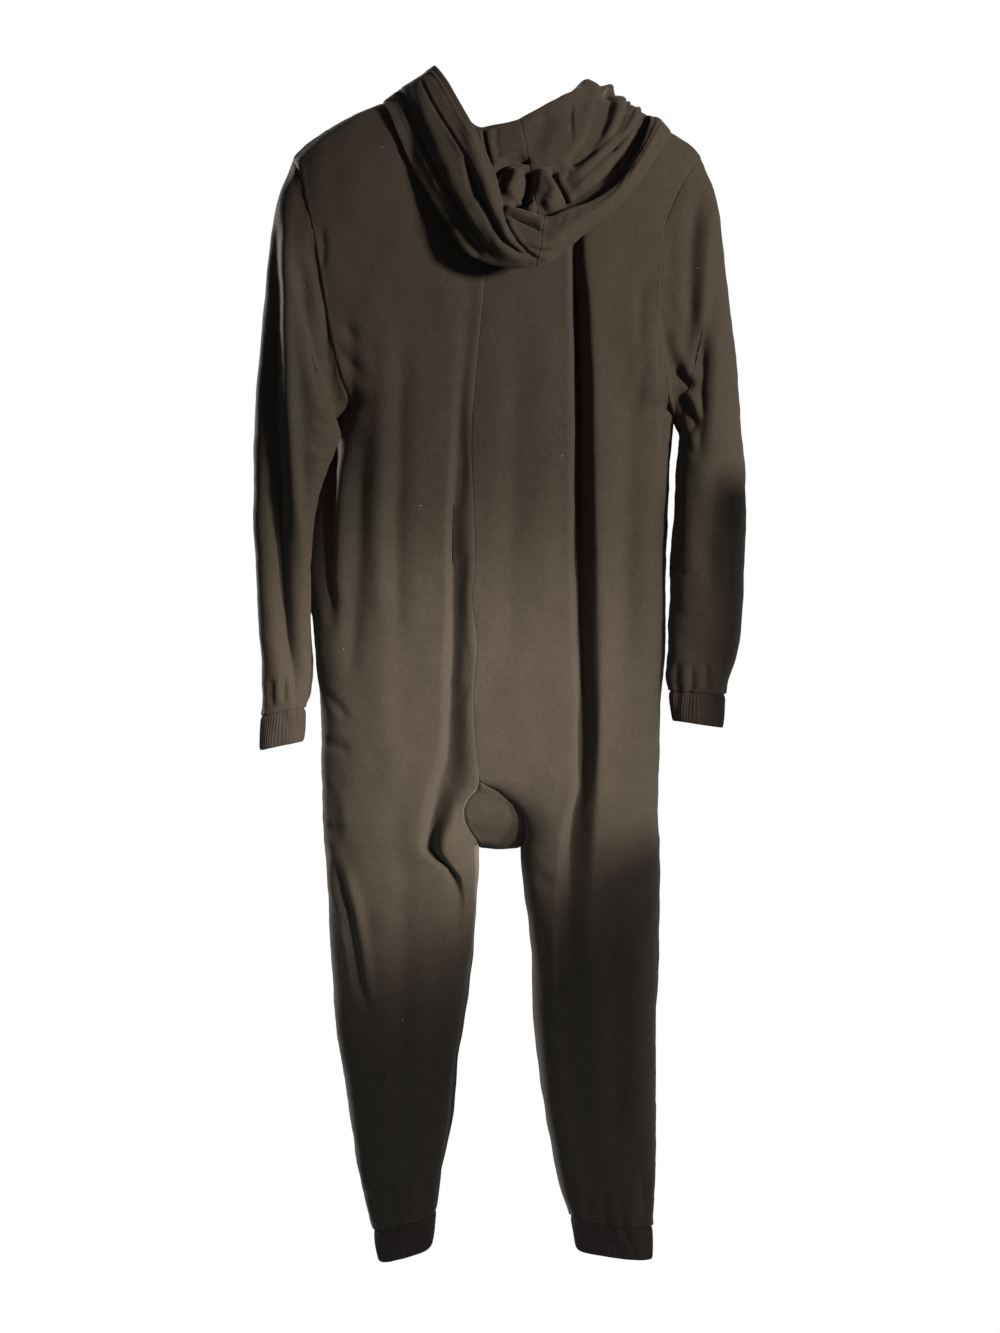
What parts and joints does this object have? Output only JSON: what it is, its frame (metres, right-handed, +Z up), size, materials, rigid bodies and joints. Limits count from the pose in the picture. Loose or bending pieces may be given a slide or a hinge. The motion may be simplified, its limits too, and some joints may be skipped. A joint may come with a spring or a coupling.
{
  "type": "onesie pajama",
  "caption": "Hooded fleece onesie pajama with a front zip, long sleeves, rib wrist and ankle cuffs and a dropped crotch gusset, hanging filled out and empty.",
  "frame": {"origin": "level with the two neck points where the neck meets the shoulders, midway between them: where the garment is held", "axes": "+Z up, the front with the zip faces -Y, the back and the dropped hood face +Y, the wearer's left is +X"},
  "size_m": [0.5472, 0.2032, 1.3314],
  "materials": {
    "fleece": "soft short-napped fleece, dark warm charcoal",
    "rib": "ribbed knit, a shade darker than the fleece",
    "zip_tape": "tightly woven tape",
    "zip_teeth": "satin coil",
    "zip_metal": "dark satin metal"
  },
  "bodies": {
    "garment": {"back_left": "fleece", "back_right": "fleece", "front_left": "fleece", "front_right": "fleece", "gusset": "fleece", "sleeve_left": "fleece", "sleeve_right": "fleece", "hood_left": "fleece", "hood_right": "fleece", "ankle_cuff_left": "rib", "ankle_cuff_right": "rib", "wrist_cuff_left": "rib", "wrist_cuff_right": "rib", "zip_tape_left": "zip_tape", "zip_tape_right": "zip_tape", "zip_chain": "zip_teeth", "zip_slider": "zip_metal"},
    "pull_tab": {"zip_pull_tab": "zip_metal"}
  },
  "joints": [
    {"name": "pull_tab_hinge", "type": "hinge", "parent": "garment", "child": "pull_tab", "pos_m": [0, -0.06123, -0.1238], "axis": [-1, 0, 0], "range_deg": [0, 140]}
  ]
}
